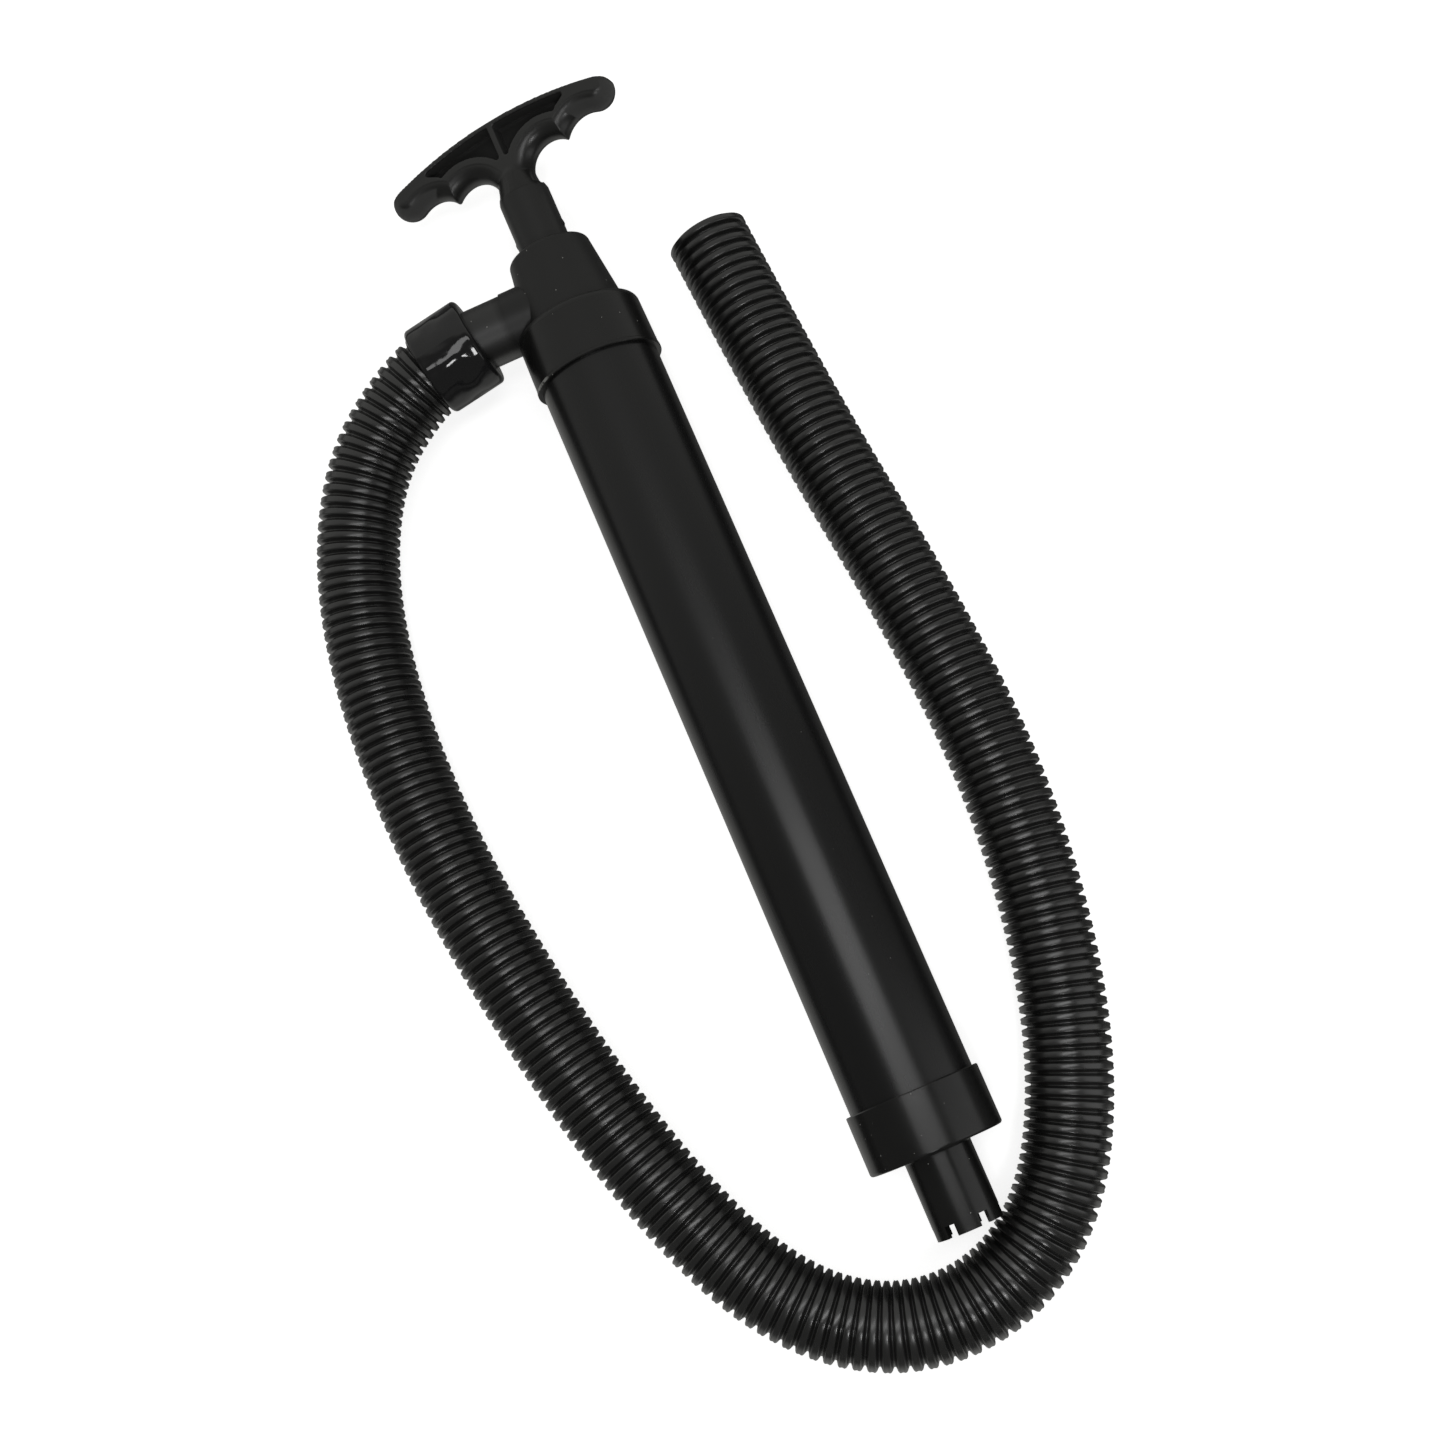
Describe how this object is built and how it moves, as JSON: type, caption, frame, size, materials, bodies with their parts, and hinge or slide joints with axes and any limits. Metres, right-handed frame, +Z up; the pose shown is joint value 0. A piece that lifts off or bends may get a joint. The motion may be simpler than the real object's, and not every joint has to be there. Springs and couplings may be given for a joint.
{
  "type": "hand bilge pump",
  "caption": "Hand-operated bilge pump: round barrel with castellated intake, T-handle plunger and a corrugated discharge hose on a side outlet.",
  "frame": {"origin": "on the ground under the middle of the pump's length, the pump lying on its side", "axes": "+Y along the barrel towards the handle, +X across the pump away from the outlet, +Z up"},
  "size_m": [0.2543, 0.5365, 0.0548],
  "materials": {
    "barrel": "satin extruded black tube",
    "cap": "satin moulded black plastic",
    "grip": "semi-gloss moulded black plastic",
    "shaft": "satin black tube",
    "hose": "satin black corrugated hose",
    "cuff": "glossy dipped black vinyl",
    "seal_rubber": "matt black rubber",
    "bush": "natural white acetal",
    "pin": "black plastic pin",
    "steel": "stainless steel"
  },
  "bodies": {
    "pump_body": {"barrel_tube": "barrel", "top_cap": "cap", "bottom_cap": "cap", "top_gasket": "seal_rubber", "bottom_gasket": "seal_rubber", "shaft_bush": "bush", "shaft_wiper": "seal_rubber", "foot_valve_seat": "bush", "foot_valve_stem": "seal_rubber", "hose_cuff": "cuff", "hose": "hose"},
    "piston_seal": {"piston_cup": "seal_rubber"},
    "plunger": {"plunger_shaft": "shaft", "handle": "grip", "handle_pin": "pin", "shaft_end_plug": "bush", "piston_head": "bush", "piston_clamp_plate": "bush", "piston_washer": "steel", "piston_screw": "steel", "bump_stop": "seal_rubber"},
    "piston_valve": {"piston_valve_disc": "seal_rubber"},
    "foot_valve": {"foot_valve_disc": "seal_rubber"}
  },
  "joints": [
    {"name": "plunger_slide", "type": "slide", "parent": "pump_body", "child": "piston_seal", "axis": [0, 1, 0], "range_m": [0, 0.316]},
    {"name": "plunger_turn", "type": "hinge", "parent": "piston_seal", "child": "plunger", "pos_m": [0, 0, 0.0274], "axis": [0, 1, 0], "continuous": true},
    {"name": "piston_valve_lift", "type": "slide", "parent": "plunger", "child": "piston_valve", "axis": [0, 1, 0], "range_m": [0, 0.0033]},
    {"name": "foot_valve_lift", "type": "slide", "parent": "pump_body", "child": "foot_valve", "axis": [0, 1, 0], "range_m": [0, 0.0033]}
  ]
}
